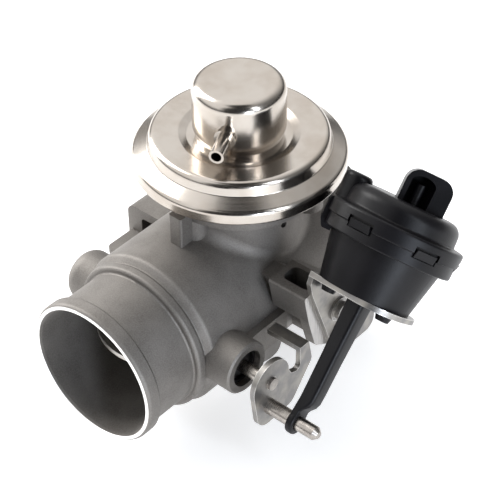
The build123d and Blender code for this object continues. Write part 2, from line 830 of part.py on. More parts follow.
flap_plane = across(0).rotated((0, 0, flap_tilt))
flap_face = Plane(origin=(0, shaft_y, 0), x_dir=(1, 0, 0), z_dir=flap_plane.y_dir)
shaft_left_x = boss_left_x + 5.4
with BuildPart() as flap_shaft:
    with BuildSketch(across(shaft_left_x)):
        Circle(shaft_r)
    extrude(amount=seal_x - 0.3 - shaft_left_x)
    with BuildSketch(across(seal_x - 0.3)):
        Circle(shaft_nose_r)
    extrude(amount=lever_x + lever_t + 1.0 - seal_x + 0.3)
    with BuildSketch(flap_face.offset(-flap_t / 2)):
        Rectangle(2 * flap_r + 0.2, 4 * shaft_r)
    extrude(amount=flap_t, mode=Mode.SUBTRACT)
    with BuildSketch(flap_face.offset(-shaft_r - 1)):
        with GridLocations(flap_screw_spacing, 1, 2, 1):
            Circle(flap_screw_r)
    extrude(amount=2 * shaft_r + 2, mode=Mode.SUBTRACT)
    with BuildSketch(flap_face.offset(shaft_r - 0.8)):
        with GridLocations(flap_screw_spacing, 1, 2, 1):
            Circle(flap_screw_head_r)
    extrude(amount=2, mode=Mode.SUBTRACT)
keep(flap_shaft, "flap_shaft")

with BuildPart() as flap_plate:
    with BuildSketch(flap_face.offset(-flap_t / 2)):
        Circle(flap_r)
        with GridLocations(flap_screw_spacing, 1, 2, 1):
            Circle(flap_screw_r, mode=Mode.SUBTRACT)
    extrude(amount=flap_t)
keep(flap_plate, "flap_plate")

with BuildPart() as flap_screws:
    with BuildSketch(flap_face.offset(-shaft_r - 0.4)):
        with GridLocations(flap_screw_spacing, 1, 2, 1):
            Circle(flap_screw_r)
    extrude(amount=2 * shaft_r + 0.4 - 0.8)
    with BuildSketch(flap_face.offset(shaft_r - 0.8)):
        with GridLocations(flap_screw_spacing, 1, 2, 1):
            Circle(flap_screw_head_r)
            Rectangle(0.8, 3 * flap_screw_head_r, mode=Mode.SUBTRACT)
    extrude(amount=1.4)
    with BuildSketch(flap_face.offset(shaft_r - 0.8)):
        with GridLocations(flap_screw_spacing, 1, 2, 1):
            Circle(flap_screw_head_r)
    extrude(amount=0.6)
keep(flap_screws, "flap_screws")

lobe_at = (lever_lobe_arm * cos(lever_turn), lever_lobe_arm * sin(lever_turn))
with BuildPart() as lever_plate:
    with BuildSketch(across(lever_x)):
        Circle(lever_hub_r)
        with Locations(lobe_at):
            Circle(lever_lobe_r)
        make_hull()
        with BuildLine():
            FilletPolyline(
                (-1.0, lobe_at[1] - lever_lobe_r),
                (lever_lobe_arm - 1.0, lobe_at[1] - lever_lobe_r + 0.6),
                (lever_reach, -4.0),
                (lever_reach - 2.0, lever_tab_z),
                (lever_reach - 2.0 - lever_tab_w, lever_tab_z),
                (lever_reach - 7.0, -4.8),
                (lever_hub_r + 1.4, -3.0),
                (lever_hub_r - 2.0, 4.0),
                (0, 0),
                radius=(1.0, 5.0, 3.5, 0.5, 0.5, 1.8, 1.8, 1.0, 1.0),
                close=True,
            )
        make_face()
    extrude(amount=lever_t)
    with BuildSketch(across(lever_x + lever_t)):
        with Locations((lever_reach - 2.0 - lever_tab_w / 2, lever_tab_z - lever_t / 2)):
            Rectangle(lever_tab_w, lever_t)
    extrude(amount=-lever_tab_len - lever_t)
    with BuildSketch(across(lever_x)):
        Circle(shaft_nose_r)
        with Locations((pin_y - shaft_y, pin_z)):
            Circle(pin_r - 0.4)
    extrude(amount=lever_t, mode=Mode.SUBTRACT)
keep(lever_plate, "lever_plate")

pin_plane = Plane(origin=(0, pin_y, pin_z), x_dir=(1, 0, 0), z_dir=(0, -1, 0))
pin_axis = Axis((0, pin_y, pin_z), (1, 0, 0))
with BuildPart() as lever_pin:
    with BuildSketch(pin_plane):
        outline(
            (lever_x - 1.2, 0),
            (lever_x - 1.2, pin_r),
            (lever_x, pin_r + 0.8),
            (lever_x, pin_r - 0.4),
            (lever_x + lever_t, pin_r - 0.4),
            (lever_x + lever_t, pin_r),
            (eye_x - 0.1, pin_r),
            (eye_x - 0.1, pin_tip_r),
            (lever_x + pin_len - 1.6, pin_tip_r),
            (lever_x + pin_len, pin_tip_r - 1.3),
            (lever_x + pin_len, 0),
        )
    revolve(axis=pin_axis)
keep(lever_pin, "lever_pin")

# ---------------------------------------------------------------- vacuum actuator
eye_plane = Plane(origin=(eye_x, pin_y, pin_z), x_dir=(0, 1, 0), z_dir=(1, 0, 0))
with BuildPart() as actuator_rod:
    with BuildSketch(rod_plane):
        RectangleRounded(rod_w, rod_t, 1.3)
    extrude(amount=rod_len)
    with BuildSketch(eye_plane.offset(eye_t)):
        Circle(rod_foot_r)
    extrude(amount=rod_w, mode=Mode.SUBTRACT)
    with BuildSketch(eye_plane):
        Circle(eye_r)
    extrude(amount=eye_t)
    with BuildSketch(along(piston_rest)):
        Circle(shaft_nose_r)
    extrude(amount=piston_h)
    with BuildSketch(eye_plane):
        Circle(pin_tip_r + shaft_clearance)
    extrude(amount=eye_t, mode=Mode.SUBTRACT)
keep(actuator_rod, "actuator_rod")

with BuildPart() as actuator_piston:
    with BuildSketch(actuator_plane):
        outline(
            (shaft_nose_r, piston_rest),
            (rod_t, piston_rest),
            (rod_t, piston_rest + piston_h - piston_t),
            (piston_r - 1.4, piston_rest + piston_h - piston_t),
            (piston_r - 1.4, piston_rest),
            (piston_r, piston_rest),
            (piston_r, piston_rest + piston_h - 0.8),
            (piston_r - 0.8, piston_rest + piston_h),
            (shaft_nose_r, piston_rest + piston_h),
        )
    revolve(axis=actuator_axis)
keep(actuator_piston, "actuator_piston")

with BuildPart() as actuator_diaphragm:
    with BuildSketch(actuator_plane):
        pressed(
            (0, piston_rest + piston_h + rubber_t / 2),
            (piston_r + 1.2, piston_rest + piston_h + rubber_t / 2),
            (cup_rim_r - cup_wall - 2.2, cup_seat + rubber_t / 2),
            (cup_flange_r - 0.4, cup_seat + rubber_t / 2),
            radius=1.0,
            thickness=rubber_t,
        )
    revolve(axis=actuator_axis)
keep(actuator_diaphragm, "actuator_diaphragm")

with BuildPart() as actuator_spring:
    with BuildLine() as actuator_coil:
        Helix(
            pitch=(cover_roof - piston_top - 2 * actuator_wire_r - 0.2) / actuator_spring_turns,
            height=cover_roof - piston_top - 2 * actuator_wire_r - 0.2,
            radius=actuator_spring_r,
            center=along(piston_top + actuator_wire_r + 0.1).origin,
            direction=(0, rise_y, rise_z),
        )
    with BuildSketch(Plane(origin=actuator_coil.line @ 0, z_dir=actuator_coil.line % 0)):
        Circle(actuator_wire_r)
    sweep(path=actuator_coil.line, is_frenet=True)
keep(actuator_spring, "actuator_spring")

port_seat = along(dome_top - 0.5).origin + hood_line * port_shift
port_plane = Plane(origin=port_seat, x_dir=hood_line, z_dir=(0, rise_y, rise_z))
stake_at = ((-stake_circle_r, -stake_shift), (stake_circle_r, -stake_shift))
with BuildPart() as actuator_cup:
    with BuildSketch(actuator_plane):
        outline(
            (0, 0),
            (cup_base_r, 0),
            (cup_rim_r, cup_depth),
            (cup_flange_r, cup_depth),
            (cup_flange_r, cup_seat),
            (cup_rim_r - cup_wall, cup_seat),
            (cup_rim_r - cup_wall, cup_depth),
            (cup_base_r - cup_wall, cup_wall),
            (0, cup_wall),
        )
    revolve(axis=actuator_axis)
    with BuildSketch(along(0)):
        with Locations((0, rod_hole_shift)):
            Circle(rod_hole_r)
    extrude(amount=cup_wall, mode=Mode.SUBTRACT)
    with BuildSketch(along(0)):
        with Locations(*stake_at):
            Circle(stake_r)
    extrude(amount=-bracket_t)
    with BuildSketch(along(-bracket_t)):
        with Locations(*stake_at):
            Circle(stake_head_r)
    extrude(amount=-stake_head_t, taper=18)
keep(actuator_cup, "actuator_cup")

with BuildPart() as actuator_cover:
    # The dome, its step and the skirt that snaps over the cup's flange
    with BuildSketch(actuator_plane):
        with BuildLine():
            Polyline(
                (0, cup_seat + rubber_t),
                (cup_flange_r, cup_seat + rubber_t),
                (cup_flange_r, cup_depth - 0.1),
                (cup_rim_r + 0.5, cup_depth - 0.1),
                (cup_rim_r + 0.5, cup_depth - 1.6),
                (skirt_r - 2.0, cup_depth - 1.6),
            )
            FilletPolyline(
                (skirt_r - 2.0, cup_depth - 1.6),
                (skirt_r, cup_depth - 1.6),
                (skirt_r, cup_seat + 0.6),
                (band_r, cup_seat + 0.6),
                (band_r, cup_seat + 6.0),
                (dome_r, cup_seat + 6.6),
                (dome_r - 0.5, dome_top),
                (0, dome_top),
                radius=(0.6, 0.2, 0.5, 1.0, 0.9, dome_corner_r),
            )
            Line((0, dome_top), (0, cup_seat + rubber_t))
        make_face()
    revolve(axis=actuator_axis)
    # The lug and the low boss on the side towards the housing
    with BuildSketch(hood_plane.offset(-lug_half_w)):
        with BuildLine():
            FilletPolyline(
                (-cup_rim_r + 1, lug_foot),
                (-lug_reach + 1.5, lug_foot),
                (-lug_reach, lug_foot + 3),
                (-lug_reach, lug_top),
                (-cup_rim_r + 1, lug_top),
                radius=(0.5, 1.0, 1.5, 2.0, 0.5),
                close=True,
            )
        make_face()
    extrude(amount=2 * lug_half_w)
    with BuildSketch(along(cup_seat + rubber_t)):
        with Locations((-low_boss_at * cos(hood_turn), -low_boss_at * sin(hood_turn))):
            Circle(low_boss_r)
    extrude(amount=low_boss_top - cup_seat - rubber_t)
    fillet(actuator_cover.faces(Select.LAST).sort_by(actuator_axis)[-1].edges(), radius=1.8)
    # The hood over the vacuum port
    with BuildSketch(hood_plane.offset(-hood_back)):
        with BuildLine():
            FilletPolyline(
                (hood_middle - hood_w / 2, dome_top - 1),
                (hood_middle - hood_w / 2, dome_top + hood_h),
                (hood_middle + hood_w / 2, dome_top + hood_h),
                (hood_middle + hood_w / 2, dome_top - 1),
                radius=(0.3, 5.0, 5.0, 0.3),
                close=True,
            )
        make_face()
    extrude(amount=hood_back + hood_front)
    # The hollow behind the diaphragm
    with BuildSketch(actuator_plane):
        outline(
            (0, cup_seat + rubber_t),
            (cup_rim_r - cup_wall, cup_seat + rubber_t),
            (dome_r - 2.4, cover_roof - 2),
            (dome_r - 4.4, cover_roof),
            (0, cover_roof),
        )
    revolve(axis=actuator_axis, mode=Mode.SUBTRACT)
    # Clearance round the cup's tapered wall, beside the lug
    with BuildSketch(actuator_plane):
        outline(
            (0, lug_foot - 1),
            (cup_rim_r + 0.5, lug_foot - 1),
            (cup_rim_r + 0.5, cup_depth - 0.1),
            (cup_flange_r, cup_depth - 0.1),
            (cup_flange_r, cup_seat + rubber_t),
            (0, cup_seat + rubber_t),
        )
    revolve(axis=actuator_axis, mode=Mode.SUBTRACT)
    # Snap windows round the skirt, with none behind the lug
    for k in snap_places:
        turn = radians(hood_angle + 90 - 32 + 60 * k)
        outward = Vector(cos(turn), sin(turn) * rise_z, -sin(turn) * rise_y)
        middle = along(cup_depth + snap_h / 2 + 1.6).origin + outward * (skirt_r - 1.0)
        with BuildSketch(Plane(origin=middle, x_dir=Vector(0, rise_y, rise_z), z_dir=outward)):
            Rectangle(snap_h, snap_w)
        extrude(amount=4, mode=Mode.SUBTRACT)
    # The hood's arched mouth with the port tube in it
    with BuildSketch(hood_plane.offset(-hood_back + 3)):
        with Locations((port_shift, dome_top + 4.0)):
            Rectangle(hood_mouth_w, 8)
        with Locations((port_shift, dome_top + 8)):
            Ellipse(hood_mouth_w / 2, 2.6)
    extrude(amount=hood_back + hood_front, mode=Mode.SUBTRACT)
    with BuildSketch(port_plane):
        Circle(port_r)
    extrude(amount=8)
    with BuildSketch(port_plane.offset(-4)):
        Circle(port_bore_r)
    extrude(amount=12, mode=Mode.SUBTRACT)
keep(actuator_cover, "actuator_cover")

# ---------------------------------------------------------------- bracket
with BuildPart() as bracket:
    with BuildSketch(across(block_face_x)):
        with BuildLine():
            FilletPolyline(
                (plate_ahead - rise_z * bracket_corner, plate_z + rise_y * bracket_corner),
                (23.2, 29.8),
                (24.4, 24.2),
                (34.8, -3.5),
                (37.0, -13.5),
                (52.0, -16.4),
                (62.5, -16.4),
                (63.2, -6.0),
                (plate_ahead + rise_z * plate_half_w, plate_z - rise_y * plate_half_w),
                radius=(0.3, 2.0, 6.0, 10.0, 3.0, 3.0, 5.0, 4.0, 0.3),
                close=True,
            )
        make_face()
        with Locations(*bracket_screws_at):
            Circle(bracket_screw_r + 0.3, mode=Mode.SUBTRACT)
    extrude(amount=bracket_t)
    with BuildSketch(along(-bracket_t)):
        with BuildLine():
            FilletPolyline(
                (block_face_x - rod_x, -bracket_corner),
                (plate_reach, -plate_half_w),
                (plate_reach, plate_half_w),
                (block_face_x - rod_x, plate_half_w),
                radius=(0.2, plate_corner_r, plate_corner_r, 0.2),
                close=True,
            )
        make_face()
        with Locations((0, rod_hole_shift)):
            Circle(rod_hole_r, mode=Mode.SUBTRACT)
        with Locations(*stake_at):
            Circle(stake_r, mode=Mode.SUBTRACT)
    extrude(amount=bracket_t)
keep(bracket, "bracket")

with BuildPart() as bracket_screws:
    with BuildSketch(across(block_face_x + bracket_t)):
        with Locations(*bracket_screws_at):
            Circle(bracket_screw_head_r)
    extrude(amount=0.9)
    with BuildSketch(across(block_face_x + bracket_t)):
        with Locations(*bracket_screws_at):
            Circle(bracket_screw_head_r - 1.2)
    extrude(amount=bracket_screw_head_h)
    with BuildSketch(across(block_face_x + bracket_t)):
        with Locations(*bracket_screws_at):
            Circle(bracket_screw_r)
    extrude(amount=-bracket_screw_depth)
    with BuildSketch(across(block_face_x + bracket_t + bracket_screw_head_h)):
        with Locations(*bracket_screws_at):
            RegularPolygon(bracket_screw_r * 0.8, 6)
    extrude(amount=-2.0, mode=Mode.SUBTRACT)
keep(bracket_screws, "bracket_screws")
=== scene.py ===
from math import cos, pi, radians, sin

import bmesh
import bpy
from mathutils import Matrix, Vector


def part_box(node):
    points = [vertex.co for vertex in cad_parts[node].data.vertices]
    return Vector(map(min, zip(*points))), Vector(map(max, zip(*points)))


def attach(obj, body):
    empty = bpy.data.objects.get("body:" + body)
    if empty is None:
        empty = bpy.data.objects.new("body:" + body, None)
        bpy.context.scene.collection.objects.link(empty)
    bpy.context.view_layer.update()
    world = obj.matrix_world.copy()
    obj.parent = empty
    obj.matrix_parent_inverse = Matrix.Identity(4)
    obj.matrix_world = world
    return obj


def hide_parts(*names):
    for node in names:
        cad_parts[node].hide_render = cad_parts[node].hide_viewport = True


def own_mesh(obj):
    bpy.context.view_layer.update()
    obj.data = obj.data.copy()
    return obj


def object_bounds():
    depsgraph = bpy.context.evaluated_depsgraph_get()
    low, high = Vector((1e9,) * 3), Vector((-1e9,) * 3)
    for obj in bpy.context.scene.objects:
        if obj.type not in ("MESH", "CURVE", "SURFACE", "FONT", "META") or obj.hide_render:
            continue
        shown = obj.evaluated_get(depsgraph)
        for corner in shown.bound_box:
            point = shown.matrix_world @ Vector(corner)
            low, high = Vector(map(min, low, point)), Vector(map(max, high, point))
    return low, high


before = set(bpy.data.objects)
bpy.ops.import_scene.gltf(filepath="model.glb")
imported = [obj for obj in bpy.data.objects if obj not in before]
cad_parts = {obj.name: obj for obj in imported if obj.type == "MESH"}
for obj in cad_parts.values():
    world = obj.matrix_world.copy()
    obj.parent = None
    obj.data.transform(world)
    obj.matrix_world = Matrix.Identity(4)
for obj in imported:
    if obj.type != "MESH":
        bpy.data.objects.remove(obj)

cad_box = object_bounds()
bpy.context.scene.view_settings.view_transform = "Standard"


# ---------------------------------------------------------------- housing
# The air horn, its neck, the actuator's block and the exhaust arm are one aluminium casting, shot blasted
# to an even matt grey, and dullest in the bore. The mouth's rim, the flange faces and the bracket's pad are
# machined bright.
class Wire:
    """One output of a shader node. Arithmetic on wires and numbers adds Math nodes."""

    def __init__(self, nodes, socket):
        self.nodes = nodes
        self.socket = socket

    def maths(self, operation, *values):
        return self.nodes.node("Math", {"operation": operation}, dict(enumerate(values)))["Value"]

    def larger(self, other):
        return self.maths("MAXIMUM", self, other)

    def rise(self, low, high, start=0.0, end=1.0):
        """From start at low to end at high, smooth between and level outside. Low may be the larger."""
        limits = {"Value": self, "From Min": low, "From Max": high, "To Min": start, "To Max": end}
        return self.nodes.node("MapRange", {"interpolation_type": "SMOOTHSTEP"}, limits)["Result"]

    def __add__(self, other):
        return self.maths("ADD", self, other)

    def __sub__(self, other):
        return self.maths("SUBTRACT", self, other)

    def __rsub__(self, other):
        return self.maths("SUBTRACT", other, self)

    def __mul__(self, other):
        return self.maths("MULTIPLY", self, other)

    def __pow__(self, other):
        return self.maths("POWER", self, other)

    __radd__ = __add__
    __rmul__ = __mul__


class Nodes:
    """The nodes of a finish or of the room's light."""

    def __init__(self, tree):
        self.tree = tree

    def feed(self, node, values):
        """Sets or links a node's inputs, by name or by number."""
        sockets = [socket for socket in node.inputs if socket.enabled]
        named = {socket.name: socket for socket in reversed(sockets)}
        for key, value in values.items():
            socket = sockets[key] if isinstance(key, int) else named[key]
            if isinstance(value, Wire):
                self.tree.links.new(value.socket, socket)
            else:
                socket.default_value = value

    def node(self, kind, settings, values):
        """Adds a node, sets it up, feeds it, and gives its outputs by name."""
        added = self.tree.nodes.new("ShaderNode" + kind)
        for key, setting in settings.items():
            if key == "stops":
                for stop, (position, colour) in zip(added.color_ramp.elements, setting):
                    stop.position = position
                    stop.color = colour
            else:
                setattr(added, key, setting)
        self.feed(added, values)
        return {socket.name: Wire(self, socket) for socket in added.outputs if socket.enabled}


class Finish(Nodes):
    """The finish of a piece of the valve, as one node material."""

    def __init__(self, name, uniform):
        self.material = bpy.data.materials.new(name)
        self.material.use_nodes = True
        super().__init__(self.material.node_tree)
        self.shader = self.tree.nodes["Principled BSDF"]
        self.feed(self.shader, uniform)
        self.place = self.node("TexCoord", {}, {})["Object"]

    def where(self):
        """The place on the piece along X, Y and Z, in metres."""
        parts = self.node("SeparateXYZ", {}, {"Vector": self.place})
        return parts["X"], parts["Y"], parts["Z"]

    def grain(self, size, detail=2.0, stretch=(1.0, 1.0, 1.0)):
        """Noise from 0 to 1 in lumps of about that size, drawn out where stretch is under 1."""
        drawn_out = self.node("VectorMath", {"operation": "MULTIPLY"}, {0: self.place, 1: stretch})["Vector"]
        return self.node("TexNoise", {}, {"Vector": drawn_out, "Scale": 1 / size, "Detail": detail})["Fac"]

    def mix(self, share, first, second):
        """One colour into another."""
        colours = {"Factor": share, "A": first, "B": second}
        return self.node("Mix", {"data_type": "RGBA"}, colours)["Result"]

    def relief(self, height, depth):
        """Bumps as deep as that, from a height of 0 to 1."""
        return self.node("Bump", {}, {"Height": height, "Distance": depth})["Normal"]

    def edges(self, width, open_face=0.995, sheared_edge=0.85):
        """1 along the piece's edges, over about that width, and 0 on its open faces."""
        rounded = self.node("Bevel", {"samples": 6}, {"Radius": width})["Normal"]
        flat = self.node("NewGeometry", {}, {})["Normal"]
        along = self.node("VectorMath", {"operation": "DOT_PRODUCT"}, {0: rounded, 1: flat})["Value"]
        return along.rise(open_face, sheared_edge)

    def cover(self, colour, roughness, normal=None):
        """Puts colour, roughness and relief on the piece."""
        self.feed(self.shader, {"Base Color": colour, "Roughness": roughness})
        if normal:
            self.feed(self.shader, {"Normal": normal})


def paint(red, green, blue):
    """A colour measured from 0 to 255, as the light that it reflects."""
    return tuple((value / 255) ** 2.2 for value in (red, green, blue)) + (1.0,)


def dress(finish, *names):
    """Gives CAD pieces a finish."""
    for name in names:
        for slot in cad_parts[name].material_slots:
            slot.material = finish.material


mm = 0.001
cast_low, cast_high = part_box("housing")
flap_clearance = 0.2 * mm
air_bore_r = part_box("flap_plate")[1].x + flap_clearance
mouth_widening = 1.5 * mm
rim_depth = 0.15 * mm
face_top = 0.05 * mm
face_foot = 0.12 * mm
grit_size = 0.45 * mm
mottle_size = 9 * mm
turning_pitch = 0.6 * mm
relief_depth = 0.09 * mm
skin_low, skin_high = paint(119, 115, 111), paint(131, 127, 123)
grit_colour = paint(148, 145, 141)
cut_low, cut_high = paint(168, 166, 164), paint(206, 203, 200)
rim_colour = paint(250, 248, 245)

cast = Finish("cast_aluminium", {"Metallic": 1.0})
x, y, z = cast.where()
blasted = cast.grain(grit_size, detail=4.0)
mottled = cast.grain(mottle_size, detail=3.0)
turning_marks = cast.grain(turning_pitch, detail=1.0, stretch=(0.06, 1.0, 0.06))
from_bore = (x * x + z * z) ** 0.5
bore_edge = air_bore_r + mouth_widening
in_bore = from_bore.rise(bore_edge + flap_clearance, bore_edge)
mouth_rim = y.rise(cast_low.y + 2 * rim_depth, cast_low.y + rim_depth)
manifold_face = y.rise(-face_foot, -face_top)
gas_face = x.rise(cast_low.x + face_foot, cast_low.x + face_top)
bracket_pad = x.rise(cast_high.x - face_foot, cast_high.x - face_top)
cut = mouth_rim.larger(manifold_face).larger(gas_face).larger(bracket_pad)
skin = cast.mix(mottled.rise(0.3, 0.7), skin_low, skin_high)
skin = cast.mix(blasted.rise(0.35, 0.65) * 0.5, skin, grit_colour)
bright = cast.mix(turning_marks, cut_low, cut_high)
bright = cast.mix(mouth_rim, bright, rim_colour)
blasted_roughness = 0.6 + 0.1 * blasted + 0.22 * in_bore
cast.cover(
    cast.mix(cut, skin, bright),
    blasted_roughness - (0.4 - 0.1 * turning_marks) * cut,
    cast.relief(blasted * (1 - cut) + 1.2 * turning_marks * cut, relief_depth),
)
dress(cast, "housing")

# ---------------------------------------------------------------- manifold O-ring
# A ring of moulded rubber lies in a groove of the manifold flange's face and seals the joint once the flange
# is bolted up.
rubber = Finish("moulded_rubber", {"Metallic": 0.0})
bloom = rubber.grain(1.6 * mm, detail=4.0)
rubber.cover(
    rubber.mix(bloom.rise(0.4, 0.75), paint(26, 26, 27), paint(44, 43, 43)),
    0.62 + 0.14 * bloom,
    rubber.relief(bloom, 0.03 * mm),
)
dress(rubber, "manifold_o_ring")

# ---------------------------------------------------------------- throttle flap
# A turned steel shaft runs in two sintered bronze bushes behind a lipped rubber seal. The flap is a disc of
# rolled steel sheet in a slot of the shaft, held by two slotted screws.
turned = Finish("turned_steel", {"Metallic": 1.0})
lathe_marks = turned.grain(0.22 * mm, detail=2.0, stretch=(1.0, 0.05, 0.05))
handled = turned.grain(5 * mm, detail=3.0)
turned.cover(
    turned.mix(handled.rise(0.35, 0.65), paint(148, 142, 137), paint(180, 174, 167)),
    0.2 + 0.16 * lathe_marks,
    turned.relief(lathe_marks, 0.012 * mm),
)
dress(turned, "flap_shaft", "flap_screws")

rolled = Finish("rolled_steel_sheet", {"Metallic": 1.0})
mill_lines = rolled.grain(0.3 * mm, detail=2.0, stretch=(0.04, 1.0, 1.0))
rolled.cover(
    rolled.mix(mill_lines, paint(168, 164, 158), paint(204, 200, 194)),
    0.3 + 0.15 * mill_lines,
    rolled.relief(mill_lines, 0.015 * mm),
)
dress(rolled, "flap_plate")

sintered = Finish("sintered_bronze", {"Metallic": 1.0})
pores = sintered.grain(0.3 * mm, detail=4.0)
sintered.cover(
    sintered.mix(pores.rise(0.3, 0.6), paint(96, 72, 48), paint(176, 138, 96)),
    0.5 - 0.12 * pores,
    sintered.relief(pores, 0.03 * mm),
)
dress(sintered, "shaft_bearings")
dress(rubber, "shaft_seal")

# ---------------------------------------------------------------- lever
# The lever is blanked from steel sheet, bent, zinc plated and pressed on the shaft's nose, and its turned
# pin is riveted in. The plating is satin, and brighter where the press has sheared the edges.
zinc = Finish("zinc_plated_sheet", {"Metallic": 1.0})
brushed = zinc.grain(0.3 * mm, detail=3.0, stretch=(1.0, 1.0, 0.12))
clouded = zinc.grain(6 * mm, detail=3.0)
sheared = zinc.edges(0.5 * mm)
plating = zinc.mix(clouded.rise(0.35, 0.7), paint(134, 132, 131), paint(160, 156, 150))
zinc.cover(
    zinc.mix(sheared, plating, paint(214, 212, 208)),
    0.34 + 0.14 * brushed - 0.1 * sheared,
    zinc.relief(brushed, 0.02 * mm),
)
dress(zinc, "lever_plate")
dress(turned, "lever_pin")

# ---------------------------------------------------------------- poppet valve
# The poppet, its stem and the seat pressed into the casting are heat resisting steel, stained brown by the
# exhaust gas. The stem slides in a bronze bush under a rubber seal, and a nut holds the diaphragm on it.
stained = Finish("heat_stained_steel", {"Metallic": 1.0})
soot = stained.grain(3.5 * mm, detail=5.0)
stained.cover(
    stained.mix(soot.rise(0.35, 0.7), paint(126, 122, 120), paint(86, 72, 62)),
    0.38 + 0.25 * soot,
    stained.relief(soot, 0.02 * mm),
)
dress(stained, "poppet_valve", "valve_seat")
dress(sintered, "stem_bush")
dress(rubber, "stem_seal")
dress(zinc, "stem_nut")

# ---------------------------------------------------------------- diaphragm can
# The can is two pans and a cap pressed from thin steel sheet, crimped together round the diaphragm and
# plated bright. Its vacuum nipple is brazed into the cap, and three screws hold it on a fibre gasket.
cap_low, cap_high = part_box("can_cap")
stem_y = (cap_low.y + cap_high.y) / 2

plated = Finish("bright_plated_steel", {"Metallic": 1.0})
x, y, z = plated.where()
off_stem = y - stem_y
from_stem = (x * x + off_stem * off_stem) ** 0.5
round_stem = plated.node("CombineXYZ", {}, {"X": from_stem, "Y": z, "Z": 0.0})["Vector"]
spun = plated.node("TexNoise", {}, {"Vector": round_stem, "Scale": 1 / (0.5 * mm), "Detail": 2.0})["Fac"]
handling = plated.grain(14 * mm, detail=4.0)
ripple = plated.grain(7 * mm, detail=1.0)
plated.cover(
    plated.mix(handling.rise(0.35, 0.7), paint(188, 181, 173), paint(176, 167, 157)),
    0.15 + 0.09 * spun + 0.07 * handling.rise(0.5, 0.8),
    plated.relief(0.05 * spun + ripple, 0.06 * mm),
)
dress(plated, "can_upper_cover", "can_lower_pan", "can_cap", "vacuum_nipple")

fibre = Finish("fibre_gasket", {"Metallic": 0.0})
felted = fibre.grain(0.8 * mm, detail=5.0)
fibre.cover(
    fibre.mix(felted, paint(58, 58, 60), paint(82, 81, 80)),
    0.85 - 0.1 * felted,
    fibre.relief(felted, 0.04 * mm),
)
dress(fibre, "can_gasket")
dress(turned, "can_screws")
dress(rubber, "diaphragm")
dress(zinc, "diaphragm_lower_plate", "diaphragm_upper_plate")

# ---------------------------------------------------------------- valve spring
# A spring of drawn steel wire, with its end turns closed, stands on the diaphragm's plate under the cap's
# roof. It shortens as the vacuum lifts the plate, and pushes the poppet back on its seat.
spring_wire = Finish("drawn_spring_wire", {"Metallic": 1.0})
oil_film = spring_wire.grain(2.4 * mm, detail=3.0)
spring_wire.cover(
    spring_wire.mix(oil_film, paint(142, 142, 146), paint(176, 174, 172)),
    0.26 + 0.15 * oil_film,
    spring_wire.relief(oil_film, 0.01 * mm),
)


def wrap(bm, rings):
    """Joins each ring of points to the next with faces."""
    count = len(rings[0])
    for lower, upper in zip(rings, rings[1:]):
        for k in range(count):
            after = (k + 1) % count
            bm.faces.new((lower[k], lower[after], upper[after], upper[k]))


def form(name, bm, finish, smooth=True):
    """Makes a piece of the valve from a finished mesh. Only its four-cornered faces are shaded smooth."""
    bmesh.ops.recalc_face_normals(bm, faces=bm.faces)
    mesh = bpy.data.meshes.new(name)
    bm.to_mesh(mesh)
    bm.free()
    for face in mesh.polygons:
        face.use_smooth = smooth and len(face.vertices) == 4
    mesh.materials.append(finish.material)
    piece = bpy.data.objects.new(name, mesh)
    bpy.context.scene.collection.objects.link(piece)
    return piece


def coil(name, foot, line, height, radius, wire_r):
    """A compression spring on a foot, along a line square to X."""
    turns = 6.5
    closed_end = 0.09
    steps = 260
    sides = 10
    across = Vector((1.0, 0.0, 0.0))
    beside = line.cross(across)
    bm = bmesh.new()
    rings = []
    for step in range(steps + 1):
        share = step / steps
        turn = 2 * pi * turns * share
        spoke = across * cos(turn) + beside * sin(turn)
        climbed = min(max((share - closed_end) / (1 - 2 * closed_end), 0.0), 1.0)
        middle = foot + line * height * climbed + spoke * radius
        around = [2 * pi * side / sides for side in range(sides)]
        rings.append([bm.verts.new(middle + (spoke * cos(a) + line * sin(a)) * wire_r) for a in around])
    wrap(bm, rings)
    bm.faces.new(rings[0])
    bm.faces.new(rings[-1])
    return form(name, bm, spring_wire)


upwards = Vector((0.0, 0.0, 1.0))
valve_foot = Vector((0.0, stem_y, 55.2 * mm))
valve_coil = coil("valve_coil", valve_foot, upwards, height=27.5 * mm, radius=11.0 * mm, wire_r=0.9 * mm)
dress(spring_wire, "valve_spring")
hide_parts("valve_spring")
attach(valve_coil, "housing")
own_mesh(valve_coil)

# ---------------------------------------------------------------- bracket
# The actuator's bracket is blanked from the same sheet as the lever, bent, zinc plated, and screwed on the
# housing's pad.
dress(zinc, "bracket", "bracket_screws")

# ---------------------------------------------------------------- vacuum actuator
# The cup, the cover that snaps over it and the piston are moulded in black glass filled nylon, satin with a
# very fine grain, and a little glossier where the mould was polished. A rubber diaphragm rolls on the piston.
nylon = Finish("black_nylon", {"Metallic": 0.0, "Specular IOR Level": 0.24})
moulded = nylon.grain(0.5 * mm, detail=3.0)
flow = nylon.grain(11 * mm, detail=3.0)
nylon.cover(
    nylon.mix(flow.rise(0.3, 0.7), paint(15, 14, 17), paint(21, 20, 23)),
    0.3 + 0.1 * flow + 0.08 * moulded,
    nylon.relief(moulded, 0.025 * mm),
)
dress(nylon, "actuator_cup", "actuator_cover", "actuator_piston")
dress(rubber, "actuator_diaphragm")

# ---------------------------------------------------------------- actuator spring
# A lighter spring of the same wire stands between the piston and the cover's roof, and shortens as the
# vacuum draws the piston in.
cup_foot = Vector((66.5, -56.1, 27.1)) * mm
cup_tilt = radians(48.2)
cup_line = Vector((0.0, cos(cup_tilt), sin(cup_tilt)))
piston_seat = cup_foot + cup_line * 12.9 * mm
actuator_coil = coil(
    "actuator_coil", piston_seat, cup_line, height=21.0 * mm, radius=10.0 * mm, wire_r=0.8 * mm
)
dress(spring_wire, "actuator_spring")
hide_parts("actuator_spring")
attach(actuator_coil, "housing")
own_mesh(actuator_coil)

